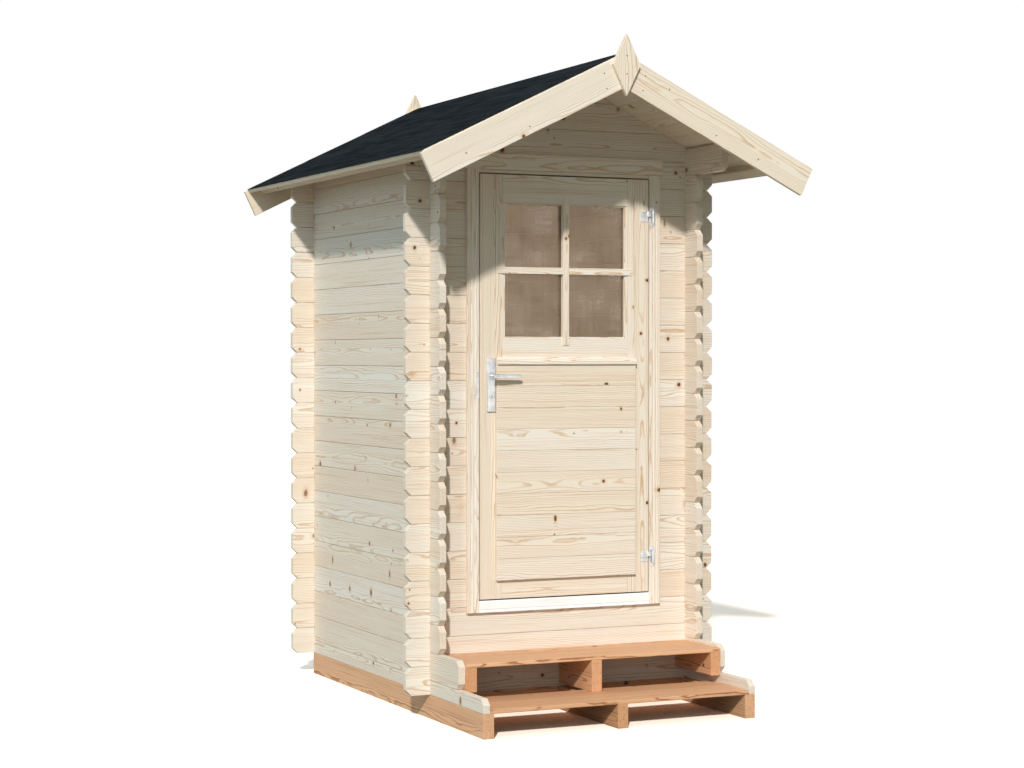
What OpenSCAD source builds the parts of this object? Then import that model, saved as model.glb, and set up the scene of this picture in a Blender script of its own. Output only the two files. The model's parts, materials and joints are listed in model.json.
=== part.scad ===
/* [Log walls] */
// Outer width of the house, between the outer faces of the side walls
house_w = 1190; // [1000:10:2400]
// Outer depth of the house, between the outer faces of the front and back walls
house_d = 1400; // [1100:10:3000]
// Thickness of a wall log
log_t = 28; // [19:1:44]
// Height that one log adds to a wall
log_h = 114; // [90:1:140]
// Least height of the side walls' top over the ground, reached with whole logs
wall_top = 2318; // [2200:1:2600]
// How far a log end stands out past the crossing wall
end_out = 103; // [60:1:160]
// Bevel on the corners of a log end
end_bevel = 24; // [10:1:30]
// Depth of the V groove along a seam between logs
seam_groove = 2.5; // [1:0.5:4]
// Play between crossing logs in a corner notch
notch_play = 0.3; // [0.1:0.1:1]

/* [Joists] */
// Width of a floor joist
joist_w = 45; // [35:1:70]
// Height of a floor joist
joist_h = 95; // [70:1:145]
// How far the joists run out in front of the front wall
joist_front = 525; // [480:5:800]
// How far the joists stop short of the back wall's outer face
joist_back_short = 15; // [0:1:28]

/* [Steps] */
// Thickness of a tread board
tread_t = 16; // [14:1:28]
// Depth of the lower tread, front to back
lower_tread_d = 300; // [240:1:360]
// Height of the upper tread's underside over the ground
upper_tread_z = 238; // [220:1:250]
// How far the upper tread and its supports stand out from the front wall
upper_step_out = 300; // [260:1:330]
// How far the first full side log runs forward beside the upper step
side_log_out = 290; // [240:1:320]
// Width of a step support
support_w = 45; // [35:1:60]
// Height of the two outer step supports
support_h = 95; // [70:1:100]

/* [Raised floor] */
// Height of the floor's top over the ground
floor_z = 445; // [425:1:460]
// Thickness of the floor boards
floor_t = 19; // [16:1:28]
// Width of a floor bearer
bearer_w = 45; // [35:1:60]
// Height of a floor bearer
bearer_h = 95; // [60:1:120]

/* [Door] */
// Width of the door leaf
door_w = 766; // [600:1:820]
// Height of the door leaf
door_h = 1714; // [1600:1:1714]
// Thickness of the door leaf
door_t = 40; // [30:1:44]
// Height of the leaf's bottom edge over the ground
door_z = 467; // [465:1:480]
// Gap round the leaf
door_gap = 5; // [5:1:8]
// Width of the leaf's stiles beside the window
stile_w = 107; // [80:1:160]
// Height of the leaf's top rail over the window
top_rail_h = 113; // [80:1:160]
// Height of the window
pane_h = 546; // [400:1:550]
// Height of the middle rail between the window and the drip ledge
mid_rail_h = 78; // [40:1:120]
// Thickness of the glass
glass_t = 4; // [3:1:6]
// Width of a glazing bar
bar_w = 27; // [18:1:36]
// How far the glazing bars stand out from the leaf
bar_out = 4; // [2:1:8]
// How far the glazing bars lap the leaf round the window
bar_lap = 30; // [8:1:36]
// Distance from the leaf's edges to the boarded panel
panel_side = 67; // [66:1:120]
// Distance from the leaf's bottom edge up to the boarded panel
panel_up = 75; // [40:1:120]
// How far the boarded panel stands out from the leaf
panel_out = 16; // [8:1:20]
// Boards in the panel
panel_boards = 10; // [6:1:14]
// Height of the drip ledge over the panel
ledge_h = 30; // [20:1:40]
// How far the drip ledge stands out from the leaf
ledge_out = 24; // [18:1:32]

/* [Door frame] */
// Thickness of the frame's jambs and head
frame_t = 28; // [20:1:40]
// Depth of the frame through the wall
frame_d = 62; // [56:1:90]
// Width of the stop behind the leaf
stop_w = 12; // [8:1:18]
// Play between the frame and the cut log ends
frame_play = 0.3; // [0.1:0.1:2]
// Width of a side casing
casing_w = 51; // [40:1:80]
// Thickness of a casing
casing_t = 18; // [12:1:24]
// Height of the head casing
head_casing_h = 66; // [50:1:90]
// How far the head casing runs past each side casing
head_casing_over = 10; // [0:1:30]
// Height of the metal threshold's front face
threshold_h = 48; // [40:1:60]
// Wall thickness of the metal threshold
threshold_t = 3; // [2:1:4]

/* [Hinges and handle] */
// Distance from the leaf's top edge down to the upper hinge's middle
hinge_down = 154; // [100:1:250]
// Distance from the leaf's bottom edge up to the lower hinge's middle
hinge_up = 146; // [100:1:250]
// Distance from the leaf's edge to the hinge pin
hinge_side = 17; // [14:1:20]
// Distance from the leaf's front face to the hinge pin
hinge_out = 10; // [9:1:14]
// Radius of a hinge pin
pin_r = 4; // [3:0.5:5]
// Radial play of a hinge pin in its knuckle
pin_play = 0.05; // [0.02:0.01:0.1]
// Radius of a hinge knuckle
knuckle_r = 6.5; // [6:0.5:8]
// Height of one hinge knuckle
knuckle_h = 26; // [20:1:32]
// Length of a hinge plate on the casing
hinge_plate_h = 84; // [70:1:100]
// Width of a hinge plate on the casing
hinge_plate_w = 19; // [16:1:24]
// Height of a hinge wing on the leaf
wing_h = 42; // [34:1:50]
// Length of a hinge wing on the leaf
wing_w = 36; // [28:1:44]
// Thickness of the hinge metal
hinge_t = 2.5; // [2:0.5:3]
// Distance from the leaf's latch edge to the handle's middle
handle_side = 47; // [40:1:48]
// Height of the lever over the ground
lever_z = 1366; // [1300:1:1385]
// Width of a handle plate
plate_w = 38; // [30:1:40]
// Height of a handle plate
plate_h = 215; // [180:1:220]
// Distance from the plate's top edge down to the lever
plate_drop = 72; // [60:1:80]
// Thickness of a handle plate
plate_t = 8; // [5:1:10]
// Radius of the lever's neck
neck_r = 9; // [7:0.5:11]
// Distance from the plate to the middle of the lever arm
lever_out = 42; // [36:1:50]
// Length of the lever arm from its turning axis
lever_len = 114; // [100:1:130]
// Thickness of the lever arm
lever_t = 14; // [10:1:18]
// Distance from the lever down to the keyhole
key_drop = 78; // [70:1:92]
// Width of the strike plate on the casing
strike_w = 12; // [8:1:20]
// Height of the strike plate
strike_h = 107; // [80:1:140]

/* [Roof] */
// Slope of the roof in degrees
roof_pitch = 26; // [22:1:30]
// Thickness of the roof boards
roof_t = 18; // [15:1:24]
// Thickness of the roofing felt
felt_t = 3; // [2:1:5]
// How far the roof reaches past the side walls, measured level
eave_out = 237; // [150:1:300]
// How far the roof boards run out in front of the front wall
roof_front = 519; // [400:1:600]
// How far the roof boards run out behind the back wall
roof_back = 187; // [140:1:300]
// How far the felt hangs over the eave edge
felt_over = 3; // [0:1:12]
// Height of an eave batten under the boards
batten_h = 28; // [18:1:36]
// Width of an eave batten along the slope
batten_w = 50; // [40:1:70]
// Distance from the eave edge to the batten, along the slope
batten_in = 50; // [20:1:90]
// Width of a barge board
barge_w = 120; // [90:1:150]
// Thickness of a barge board and of a finial
barge_t = 18; // [14:1:24]
// How far a barge board runs past the eave edge, along the slope
barge_past = 17; // [0:1:40]
// Width of a finial
finial_w = 120; // [90:1:150]
// Height of a finial
finial_h = 240; // [180:1:300]
// How far the top side logs run forward under the roof
top_log_out = 307; // [200:1:400]
// Radius of the rounded corner on a top side log
top_log_r = 35; // [15:1:50]
// Play between the roof boards and the walls, and under the felt
roof_play = 0.2; // [0.1:0.1:1]

/* [Hidden] */

$fn = 48;
half_w = house_w / 2;
half_d = house_d / 2;
front_y = -half_d;
half_log = log_h / 2;
quarter_log = log_h / 4;
end_tip_x = half_w + end_out;
end_tip_y = half_d + end_out;

// Door and frame, from the leaf outwards
leaf_y = front_y - casing_t;
half_leaf = door_w / 2;
clear_x = half_leaf + door_gap;
clear_top = door_z + door_h + door_gap;
cut_x = clear_x + frame_t + frame_play;
cut_top = clear_top + frame_t + frame_play;
threshold_top = door_z - door_gap;
threshold_z = threshold_top - threshold_h;
frame_z = threshold_z + 12;
casing_top = clear_top + 14;
stop_y = leaf_y + door_t + door_gap;
pin_x = half_leaf + hinge_side;
pin_y = leaf_y - hinge_out;
hinge_low = door_z + hinge_up;
hinge_high = door_z + door_h - hinge_down;
pane_w = door_w - 2 * stile_w;
pane_z = door_z + door_h - top_rail_h - pane_h;
panel_w = door_w - 2 * panel_side;
panel_z = door_z + panel_up;
panel_h = pane_z - mid_rail_h - ledge_h - panel_z;
handle_x = -half_leaf + handle_side;
plate_z = lever_z + plate_drop - plate_h;
far = 4000;

// Whole logs: under the doorway, up to the one that its head cuts into, and in the full wall
sill_rows = ceil((frame_z - frame_play - joist_h) / log_h);
lintel_row = floor((cut_top - joist_h) / log_h);
side_base = joist_h + half_log;
rows = max(lintel_row + 1, ceil((wall_top - side_base) / log_h - 0.001));
side_top = side_base + rows * log_h;
lintel_z = joist_h + lintel_row * log_h;
gable_z = joist_h + rows * log_h;

// The roof boards' underside meets the side wall's top inside its outer face
bevel_in = 11.5;
pitch_tan = tan(roof_pitch);
under_ridge = side_top + (half_w - bevel_in) * pitch_tan;
eave_x = half_w + eave_out;
slope_len = eave_x / cos(roof_pitch);
gable_rows = ceil((under_ridge - gable_z) / log_h);
function under_z(x) = under_ridge - abs(x) * pitch_tan;

// Points up one log end, tip out at e, for n logs stacked from z0; s is the side, 1 or -1
function end_points(e, z0, n, s) = concat(
    [for (k = [0 : n - 1]) let (z = z0 + k * log_h) each [
        [s * (e - end_bevel), z],
        [s * e, z + end_bevel],
        [s * e, z + log_h - end_bevel]]],
    [[s * (e - end_bevel), z0 + n * log_h]]);
function backwards(list) = [for (i = [len(list) - 1 : -1 : 0]) list[i]];

// Points up one face of a wall with a V groove at each seam; a is the face, in is into the log
function groove_points(a, in, seams) = [for (z = seams) each [
    [a, z - seam_groove], [a + in * seam_groove, z], [a, z + seam_groove]]];
function front_seams(first, last) = [for (k = [first : 1 : last]) joist_h + k * log_h];
function side_seams() = [for (k = [0 : rows - 1]) side_base + k * log_h];

// Cross-section of a front or back wall from z0 to z1, grooved at the seams
module front_profile(z0, z1, seams) {
    polygon(concat([[0, z0]], groove_points(0, 1, seams), [[0, z1], [log_t, z1]],
        backwards(concat([[log_t, z0]], groove_points(log_t, -1, seams)))));
}

// A wall across the house: its outline, extruded, and its cross-section run together
module cross_wall(y, z0, z1, seams) {
    intersection() {
        translate([0, y + log_t, 0]) rotate([90, 0, 0]) linear_extrude(log_t) children();
        translate([-end_tip_x - 1, y, 0]) rotate([90, 0, 90])
            linear_extrude(2 * end_tip_x + 2) front_profile(z0, z1, seams);
    }
}

// Squares that the side logs fill, at the front wall's seams from row first to row last
module side_log_notches(first, last) {
    for (k = [first : last], s = [-1, 1])
        translate([s * (half_w - log_t / 2), joist_h + k * log_h])
            square([log_t + 2 * notch_play, half_log + 2 * notch_play], center = true);
}

// Outline of logs across the house, with both ends out, for n rows from row first
module log_rows(first, n) {
    z0 = joist_h + first * log_h;
    polygon(concat(end_points(end_tip_x, z0, n, 1), backwards(end_points(end_tip_x, z0, n, -1))));
}

// Outline of a gable over the top row of logs
module gable_outline() {
    polygon([[-half_w, gable_z], [half_w, gable_z], [half_w, under_z(half_w) - roof_play],
        [0, under_ridge - roof_play], [-half_w, under_z(half_w) - roof_play]]);
}

module door_cut() {
    translate([-cut_x, frame_z - frame_play]) square([2 * cut_x, cut_top - frame_z + frame_play]);
}

module back_wall() {
    color("burlywood") cross_wall(half_d - log_t, joist_h, far, front_seams(1, rows + gable_rows - 1))
        difference() {
            union() {
                log_rows(0, rows);
                gable_outline();
            }
            side_log_notches(0, rows);
        }
}

module front_wall_sill() {
    color("burlywood") cross_wall(front_y, joist_h, far, front_seams(1, sill_rows - 1))
        difference() {
            log_rows(0, sill_rows);
            side_log_notches(0, sill_rows);
            door_cut();
        }
}

// Logs beside the doorway on one side, s = -1 left or 1 right
module front_wall_side(s) {
    z0 = joist_h + sill_rows * log_h;
    color("burlywood") cross_wall(front_y, z0, far, front_seams(sill_rows + 1, lintel_row - 1))
        difference() {
            intersection() {
                log_rows(sill_rows, lintel_row - sill_rows);
                translate([s * far / 2, 0]) square([far, 2 * far], center = true);
            }
            side_log_notches(sill_rows, lintel_row);
            door_cut();
        }
}

module front_lintel_log() {
    color("burlywood") cross_wall(front_y, lintel_z, far, front_seams(lintel_row + 1, rows - 1))
        difference() {
            log_rows(lintel_row, rows - lintel_row);
            side_log_notches(lintel_row, rows);
            door_cut();
        }
}

module front_gable() {
    color("burlywood")
        cross_wall(front_y, gable_z, far, front_seams(rows + 1, rows + gable_rows - 1))
            difference() {
                gable_outline();
                side_log_notches(rows, rows);
            }
}

// Front edge of the side wall, from the bottom up
function side_front_edge() = let (
    half_tip = front_y - joist_front,
    step_tip = front_y - side_log_out,
    top_tip = front_y - top_log_out,
    top_z = side_top - log_h)
    concat(
        [[half_tip, joist_h], [half_tip, side_base - end_bevel], [half_tip + end_bevel, side_base]],
        [[step_tip + end_bevel, side_base], [step_tip, side_base + end_bevel],
            [step_tip, side_base + log_h - end_bevel], [step_tip + end_bevel, side_base + log_h]],
        end_points(end_tip_y, side_base + log_h, rows - 2, -1),
        [for (i = [0 : 8]) [top_tip + top_log_r * (1 - sin(i * 90 / 8)),
            top_z + top_log_r * (1 - cos(i * 90 / 8))]],
        [[top_tip, side_top]]);
function side_back_edge() = concat(
    [[end_tip_y, joist_h], [end_tip_y, side_base - end_bevel], [end_tip_y - end_bevel, side_base]],
    end_points(end_tip_y, side_base, rows, 1));

// Cross-section of the right wall, grooved at the seams and bevelled to the roof
module side_profile() {
    inner = half_w - log_t;
    roof_hit = half_w - bevel_in;
    polygon(concat([[inner, joist_h]], groove_points(inner, 1, side_seams()),
        [[inner, side_top - roof_play], [roof_hit, side_top - roof_play],
            [half_w, under_z(half_w) - roof_play]],
        backwards(concat([[half_w, joist_h]], groove_points(half_w, -1, side_seams())))));
}

module side_wall() {
    color("burlywood") intersection() {
        translate([half_w - log_t, 0, 0]) rotate([90, 0, 90]) linear_extrude(log_t)
            difference() {
                polygon(concat(side_back_edge(), backwards(side_front_edge())));
                for (z = concat(side_seams(), [side_top]), s = [-1, 1])
                    translate([s * (half_d - log_t / 2), z])
                        square([log_t + 2 * notch_play, half_log + 2 * notch_play], center = true);
            }
        translate([0, far / 2, 0]) rotate([90, 0, 0]) linear_extrude(far) side_profile();
    }
}

// A joist with its left face at x
module joist(x) {
    color("peru") translate([x, front_y - joist_front, 0])
        cube([joist_w, house_d + joist_front - joist_back_short, joist_h]);
}

module header_joists() {
    bay = half_w - joist_w * 1.5;
    color("peru") for (s = [-1, 1])
        translate([s * (joist_w / 2 + bay / 2), front_y + joist_w / 2, joist_h / 2])
            cube([bay, joist_w, joist_h], center = true);
}

inner_w = house_w - 2 * log_t;
inner_d = house_d - 2 * log_t;
bearer_z = floor_z - floor_t - bearer_h;

module floor_bearers() {
    color("burlywood") for (x = [-(inner_w - bearer_w) / 2, 0, (inner_w - bearer_w) / 2])
        translate([x - bearer_w / 2, -inner_d / 2, bearer_z]) cube([bearer_w, inner_d, bearer_h]);
}

module floor_boards() {
    front = front_y + frame_d + frame_play;
    color("burlywood") translate([-inner_w / 2 + notch_play, front, floor_z - floor_t])
        cube([inner_w - 2 * notch_play, inner_d / 2 - front - notch_play, floor_t]);
}

// A board between the side logs, front edge at y, d deep
module tread(y, z, d) {
    w = inner_w - 2 * notch_play;
    color("peru") translate([-w / 2, y, z]) cube([w, d, tread_t]);
}

module lower_tread() {
    tread(front_y - joist_front, joist_h, lower_tread_d);
}

module upper_tread() {
    tread(front_y - upper_step_out, upper_tread_z, upper_step_out);
}

module step_supports() {
    lower_top = joist_h + tread_t;
    side_x = inner_w / 2 - notch_play - support_w;
    color("peru") {
        for (x = [-side_x - support_w, side_x])
            translate([x, front_y - upper_step_out, upper_tread_z - support_h])
                cube([support_w, upper_step_out, support_h]);
        translate([-support_w / 2, front_y - upper_step_out, lower_top])
            cube([support_w, upper_step_out, upper_tread_z - lower_top]);
    }
}

// Right jamb with the stop that the leaf shuts against
module jamb() {
    color("wheat") {
        translate([clear_x, front_y, frame_z]) cube([frame_t, frame_d, clear_top + frame_t - frame_z]);
        translate([clear_x - stop_w, stop_y, threshold_top])
            cube([stop_w + 1, front_y + frame_d - stop_y, clear_top - threshold_top]);
    }
}

module door_head() {
    color("wheat") translate([-clear_x, 0, 0]) rotate([90, 0, 90]) linear_extrude(2 * clear_x)
        polygon([[front_y - casing_t + 2, clear_top], [front_y + frame_d, clear_top],
            [front_y + frame_d, clear_top + frame_t], [front_y, clear_top + frame_t],
            [front_y, casing_top - 1], [front_y - casing_t + 2, casing_top - 1]]);
}

// Metal-faced sill under the leaf, with a lip down over the log
module door_threshold() {
    lip_y = front_y - casing_t;
    color("gainsboro") translate([-clear_x + notch_play, 0, 0]) rotate([90, 0, 90])
        linear_extrude(2 * clear_x - 2 * notch_play)
            polygon([[lip_y, threshold_z], [front_y - frame_play, threshold_z],
                [front_y - frame_play, frame_z], [front_y + frame_d, frame_z],
                [front_y + frame_d, threshold_top - threshold_t], [lip_y, threshold_top]]);
}

// Right casing
module casing() {
    color("wheat") translate([clear_x, front_y - casing_t, threshold_z])
        cube([casing_w, casing_t, casing_top - threshold_z]);
}

module casing_head() {
    w = 2 * (clear_x + casing_w + head_casing_over);
    color("wheat") translate([-w / 2, front_y - casing_t, casing_top])
        cube([w, casing_t, head_casing_h]);
}

module door_leaf() {
    color("wheat") difference() {
        translate([-half_leaf, leaf_y, door_z]) cube([door_w, door_t, door_h]);
        translate([-pane_w / 2, leaf_y - 1, pane_z]) cube([pane_w, door_t + 2, pane_h]);
        translate([handle_x, leaf_y - 1, lever_z]) rotate([-90, 0, 0])
            cylinder(r = neck_r + 3, h = door_t + 2);
    }
}

module door_panel() {
    pitch = panel_h / panel_boards;
    v = seam_groove;
    edge = [for (i = [1 : panel_boards - 1]) let (z = panel_z + i * pitch)
        each [[-panel_out, z - v], [-panel_out + v, z], [-panel_out, z + v]]];
    color("wheat") translate([-panel_w / 2, leaf_y, 0]) rotate([90, 0, 90])
        linear_extrude(panel_w)
            polygon(concat([[0, panel_z], [-panel_out, panel_z]], edge,
                [[-panel_out, panel_z + panel_h], [0, panel_z + panel_h]]));
}

module door_ledge() {
    z = panel_z + panel_h;
    color("wheat") translate([-panel_w / 2, leaf_y, 0]) rotate([90, 0, 90])
        linear_extrude(panel_w)
            polygon([[0, z], [-ledge_out, z], [-ledge_out, z + ledge_h - 12], [0, z + ledge_h]]);
}

module door_glass() {
    y = leaf_y + door_t / 2;
    color("rosybrown", 0.6) translate([-pane_w / 2, y - glass_t / 2, pane_z])
        cube([pane_w, glass_t, pane_h]);
}

// One upright and one level bar in front of the glass, lapping the leaf round the window
module glazing_bars() {
    d = bar_out + door_t / 2 - glass_t / 2;
    color("wheat") {
        translate([-bar_w / 2, leaf_y - bar_out, pane_z]) cube([bar_w, d, pane_h]);
        translate([-pane_w / 2, leaf_y - bar_out, pane_z + (pane_h - bar_w) / 2])
            cube([pane_w, d, bar_w]);
        translate([-bar_w / 2, leaf_y - bar_out, pane_z - bar_lap])
            cube([bar_w, bar_out, pane_h + 2 * bar_lap]);
        translate([-pane_w / 2 - bar_lap, leaf_y - bar_out, pane_z + (pane_h - bar_w) / 2])
            cube([pane_w + 2 * bar_lap, bar_out, bar_w]);
    }
}

// Long plate with the lever's hole, its front face at -plate_t
module handle_plate() {
    difference() {
        translate([-plate_w / 2, -plate_t, plate_z]) cube([plate_w, plate_t, plate_h]);
        translate([0, -plate_t - 1, lever_z]) rotate([-90, 0, 0])
            cylinder(r = neck_r + pin_play, h = plate_t + 2);
    }
    translate([0, -plate_t - 3, lever_z - key_drop]) rotate([-90, 0, 0])
        cylinder(r = 8.5, h = 3.5);
}

module handle_plates() {
    color("silver") {
        translate([handle_x, leaf_y, 0]) handle_plate();
        translate([handle_x, leaf_y + door_t, 0]) mirror([0, 1, 0]) handle_plate();
    }
}

// Neck and arm on one side of the leaf; the arm points to the hinges
module lever_side() {
    arm_y = -plate_t - lever_out;
    translate([0, arm_y, 0]) rotate([-90, 0, 0]) cylinder(r = neck_r, h = lever_out + plate_t + 1);
    translate([0, arm_y - lever_t / 2, -lever_t / 2]) cube([lever_len - lever_t / 2, lever_t, lever_t]);
    translate([lever_len - lever_t / 2, arm_y - lever_t / 2, 0]) rotate([-90, 0, 0])
        cylinder(r = lever_t / 2, h = lever_t);
    translate([0, arm_y - lever_t / 2, 0]) rotate([-90, 0, 0]) cylinder(r = neck_r + 1, h = lever_t);
}

module door_lever() {
    color("silver") translate([handle_x, leaf_y, lever_z]) {
        lever_side();
        translate([0, door_t, 0]) mirror([0, 1, 0]) lever_side();
        rotate([-90, 0, 0]) cylinder(r = neck_r - 3, h = door_t);
    }
}

// Plate on the left casing, level with the latch
module strike_plate() {
    t = 1.5;
    drop = strike_h - 18;
    color("silver") translate([-clear_x - strike_w, leaf_y - t, lever_z - drop])
        cube([strike_w, t, strike_h]);
}

// Plate on the casing with its knuckle and pin, about the hinge's middle at z = 0
module hinge_frame_plate() {
    end_r = hinge_plate_w / 2;
    plate_y = leaf_y - hinge_t;
    translate([pin_x, leaf_y, 0]) rotate([90, 0, 0]) linear_extrude(hinge_t) {
        square([hinge_plate_w, hinge_plate_h - hinge_plate_w], center = true);
        for (s = [-1, 1]) translate([0, s * (hinge_plate_h / 2 - end_r)]) circle(r = end_r);
    }
    translate([pin_x, pin_y, -knuckle_h]) cylinder(r = knuckle_r, h = knuckle_h);
    translate([pin_x, pin_y, -knuckle_h]) cylinder(r = pin_r, h = 2 * knuckle_h - 2);
    translate([pin_x - 3, pin_y, -knuckle_h]) cube([6, plate_y - pin_y + 0.5, knuckle_h]);
}

module hinge_frame_plates() {
    color("silver") for (z = [hinge_low, hinge_high]) translate([0, 0, z]) hinge_frame_plate();
}

// Wing on the leaf, bent out to its knuckle over the frame plate's knuckle
module hinge_wing() {
    wing_x = half_leaf - wing_w;
    bend_x = half_leaf - 2;
    front = leaf_y - hinge_t;
    arm_y = pin_y + 3;
    lift = 0.4;
    difference() {
        union() {
            translate([wing_x, front, -wing_h / 2]) cube([bend_x - wing_x, hinge_t, wing_h]);
            translate([0, 0, lift]) linear_extrude(wing_h / 2 - lift)
                polygon([[bend_x - 6, leaf_y], [bend_x - 8, front], [bend_x - 2, arm_y],
                    [pin_x, arm_y], [pin_x, arm_y + hinge_t], [bend_x, arm_y + hinge_t],
                    [bend_x - 2, leaf_y]]);
            translate([pin_x, pin_y, lift]) cylinder(r = knuckle_r, h = knuckle_h - lift);
        }
        translate([pin_x, pin_y, -1]) cylinder(r = pin_r + pin_play, h = knuckle_h + 2);
    }
}

module hinge_wings() {
    color("silver") for (z = [hinge_low, hinge_high]) translate([0, 0, z]) hinge_wing();
}

// Places its children on the right slope: x runs down from the ridge, z is square to it
module on_slope() {
    translate([0, 0, under_ridge]) rotate([0, roof_pitch, 0]) children();
}

// A layer of the right slope from height z0 to z1 over the boards' underside
module slope_layer(z0, z1, y0, y1, run) {
    tilt = tan(roof_pitch);
    on_slope() translate([0, y1, 0]) rotate([90, 0, 0]) linear_extrude(y1 - y0)
        polygon([[-z0 * tilt, z0], [run, z0], [run, z1], [-z1 * tilt, z1]]);
}

module roof_boards() {
    color("burlywood")
        slope_layer(0, roof_t, front_y - roof_front, half_d + roof_back, slope_len);
}

module felt() {
    color("darkslategray") slope_layer(roof_t + roof_play, roof_t + felt_t, front_y - roof_front,
        half_d + roof_back, slope_len + felt_over);
}

module eave_battens() {
    length = house_d + roof_front + roof_back;
    color("burlywood") for (s = [0, 1]) mirror([s, 0, 0]) on_slope()
        translate([slope_len - batten_in - batten_w, front_y - roof_front, -batten_h - roof_play])
            cube([batten_w, length, batten_h]);
}

// Right barge board, its outer face at y and barge_t deep to the back
module barge(y) {
    top = roof_t + felt_t - 6;
    tilt = tan(roof_pitch);
    color("burlywood") on_slope() translate([0, y + barge_t, 0]) rotate([90, 0, 0])
        linear_extrude(barge_t)
            polygon([[-top * tilt, top], [(barge_w - top) * tilt, top - barge_w],
                [slope_len + barge_past, top - barge_w], [slope_len + barge_past, top]]);
}

module finial(y) {
    z = under_ridge - 30;
    color("burlywood") translate([0, y + barge_t, z]) rotate([90, 0, 0]) linear_extrude(barge_t)
        polygon([[0, -finial_h / 2], [finial_w / 2, 0], [0, finial_h / 2], [-finial_w / 2, 0]]);
}

barge_front_y = front_y - roof_front - barge_t;
barge_back_y = half_d + roof_back;

joist(-half_w);  // joist_left
joist(-joist_w / 2);  // joist_middle
joist(half_w - joist_w);  // joist_right
header_joists();
mirror([1, 0, 0]) side_wall();  // left_wall
side_wall();  // right_wall
back_wall();
front_wall_sill();
front_wall_side(-1);  // front_wall_left
front_wall_side(1);  // front_wall_right
front_lintel_log();
front_gable();
floor_bearers();
floor_boards();
lower_tread();
upper_tread();
step_supports();
mirror([1, 0, 0]) jamb();  // door_jamb_left
jamb();  // door_jamb_right
door_head();
door_threshold();
mirror([1, 0, 0]) casing();  // casing_left
casing();  // casing_right
casing_head();
door_leaf();
door_panel();
door_ledge();
door_glass();
glazing_bars();
handle_plates();
door_lever();
strike_plate();
hinge_frame_plates();
hinge_wings();
mirror([1, 0, 0]) roof_boards();  // roof_boards_left
roof_boards();  // roof_boards_right
mirror([1, 0, 0]) felt();  // felt_left
felt();  // felt_right
eave_battens();
mirror([1, 0, 0]) barge(barge_front_y);  // barge_front_left
barge(barge_front_y);  // barge_front_right
mirror([1, 0, 0]) barge(barge_back_y);  // barge_back_left
barge(barge_back_y);  // barge_back_right
finial(barge_front_y - barge_t);  // finial_front
finial(barge_back_y + barge_t);  // finial_back
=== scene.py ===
"""Looks of the log garden shed: every log, board and fitting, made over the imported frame."""

import json
import math
import random

import bmesh
import bpy
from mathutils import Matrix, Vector


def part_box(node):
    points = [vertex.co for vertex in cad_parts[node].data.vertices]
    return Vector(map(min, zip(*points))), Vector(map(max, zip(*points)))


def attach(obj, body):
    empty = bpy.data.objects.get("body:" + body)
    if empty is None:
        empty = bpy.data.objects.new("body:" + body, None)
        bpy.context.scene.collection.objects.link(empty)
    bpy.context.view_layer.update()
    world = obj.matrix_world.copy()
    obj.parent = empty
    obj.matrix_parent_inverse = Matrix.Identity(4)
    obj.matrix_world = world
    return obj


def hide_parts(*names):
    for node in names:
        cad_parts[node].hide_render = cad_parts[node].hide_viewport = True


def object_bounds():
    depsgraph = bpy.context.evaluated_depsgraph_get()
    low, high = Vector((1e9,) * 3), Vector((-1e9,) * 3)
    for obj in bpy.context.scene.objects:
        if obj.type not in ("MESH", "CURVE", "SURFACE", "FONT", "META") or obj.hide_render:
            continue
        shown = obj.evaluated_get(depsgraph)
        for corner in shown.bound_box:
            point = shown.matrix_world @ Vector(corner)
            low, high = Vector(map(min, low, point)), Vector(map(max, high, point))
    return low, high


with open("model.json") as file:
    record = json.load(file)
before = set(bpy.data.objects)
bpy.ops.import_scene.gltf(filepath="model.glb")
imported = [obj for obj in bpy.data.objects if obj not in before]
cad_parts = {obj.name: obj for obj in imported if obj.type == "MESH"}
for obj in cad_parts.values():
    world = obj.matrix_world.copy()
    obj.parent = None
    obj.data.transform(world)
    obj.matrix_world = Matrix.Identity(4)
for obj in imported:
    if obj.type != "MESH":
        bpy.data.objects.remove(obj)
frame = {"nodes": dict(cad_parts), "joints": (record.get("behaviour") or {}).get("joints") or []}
CAD_LOW, CAD_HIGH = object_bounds()

# ---- driving sizes, in metres

SEED = "-3"  # joined to a piece's name, it seeds the grain of that piece's boards
LOG_H = 0.114  # one row of logs
HALF_LOG = LOG_H / 2
NOTCH = LOG_H / 4  # how deep crossing logs bite into each other
END_BEVEL = 0.024  # the cut corners of a log's ends
PITCH = math.radians(26)  # the roof's slope
ROOF_T = 0.018
FELT_T = 0.003
ROOF_BOARDS = 10
PANEL_BOARDS = 10
FLOOR_BOARDS = 12

# Rounding of a board's long edges, and of its other corners
EDGE = 0.0016
LOG_EDGE = 0.0024
DOOR_EDGE = 0.0022
BAR_EDGE = 0.0014
SOFT = 0.0009
METAL_EDGE = 0.0006

# Clearances: beside a neighbour, at a hidden face, over and under a log, and at the roof's ridge
PLAY = 0.0003
HAIR = 0.0002
SEAM_PLAY = 0.0005
RIDGE_PLAY = 0.0005
SINK = 0.001  # how far a fitting sinks into what carries it

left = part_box("left_wall")
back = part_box("back_wall")
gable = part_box("front_gable")
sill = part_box("front_wall_sill")
beside_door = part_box("front_wall_left")
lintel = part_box("front_lintel_log")
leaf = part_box("door_leaf")
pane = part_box("door_glass")
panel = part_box("door_panel")
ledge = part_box("door_ledge")
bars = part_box("glazing_bars")

HALF_W = -left[0].x
LOG_T = left[1].x - left[0].x
HALF_D = back[1].y
END_X = back[1].x
END_Y = left[1].y
BASE_Z = left[0].z
SIDE_BASE = BASE_Z + HALF_LOG
CUT_X = -beside_door[1].x

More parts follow.
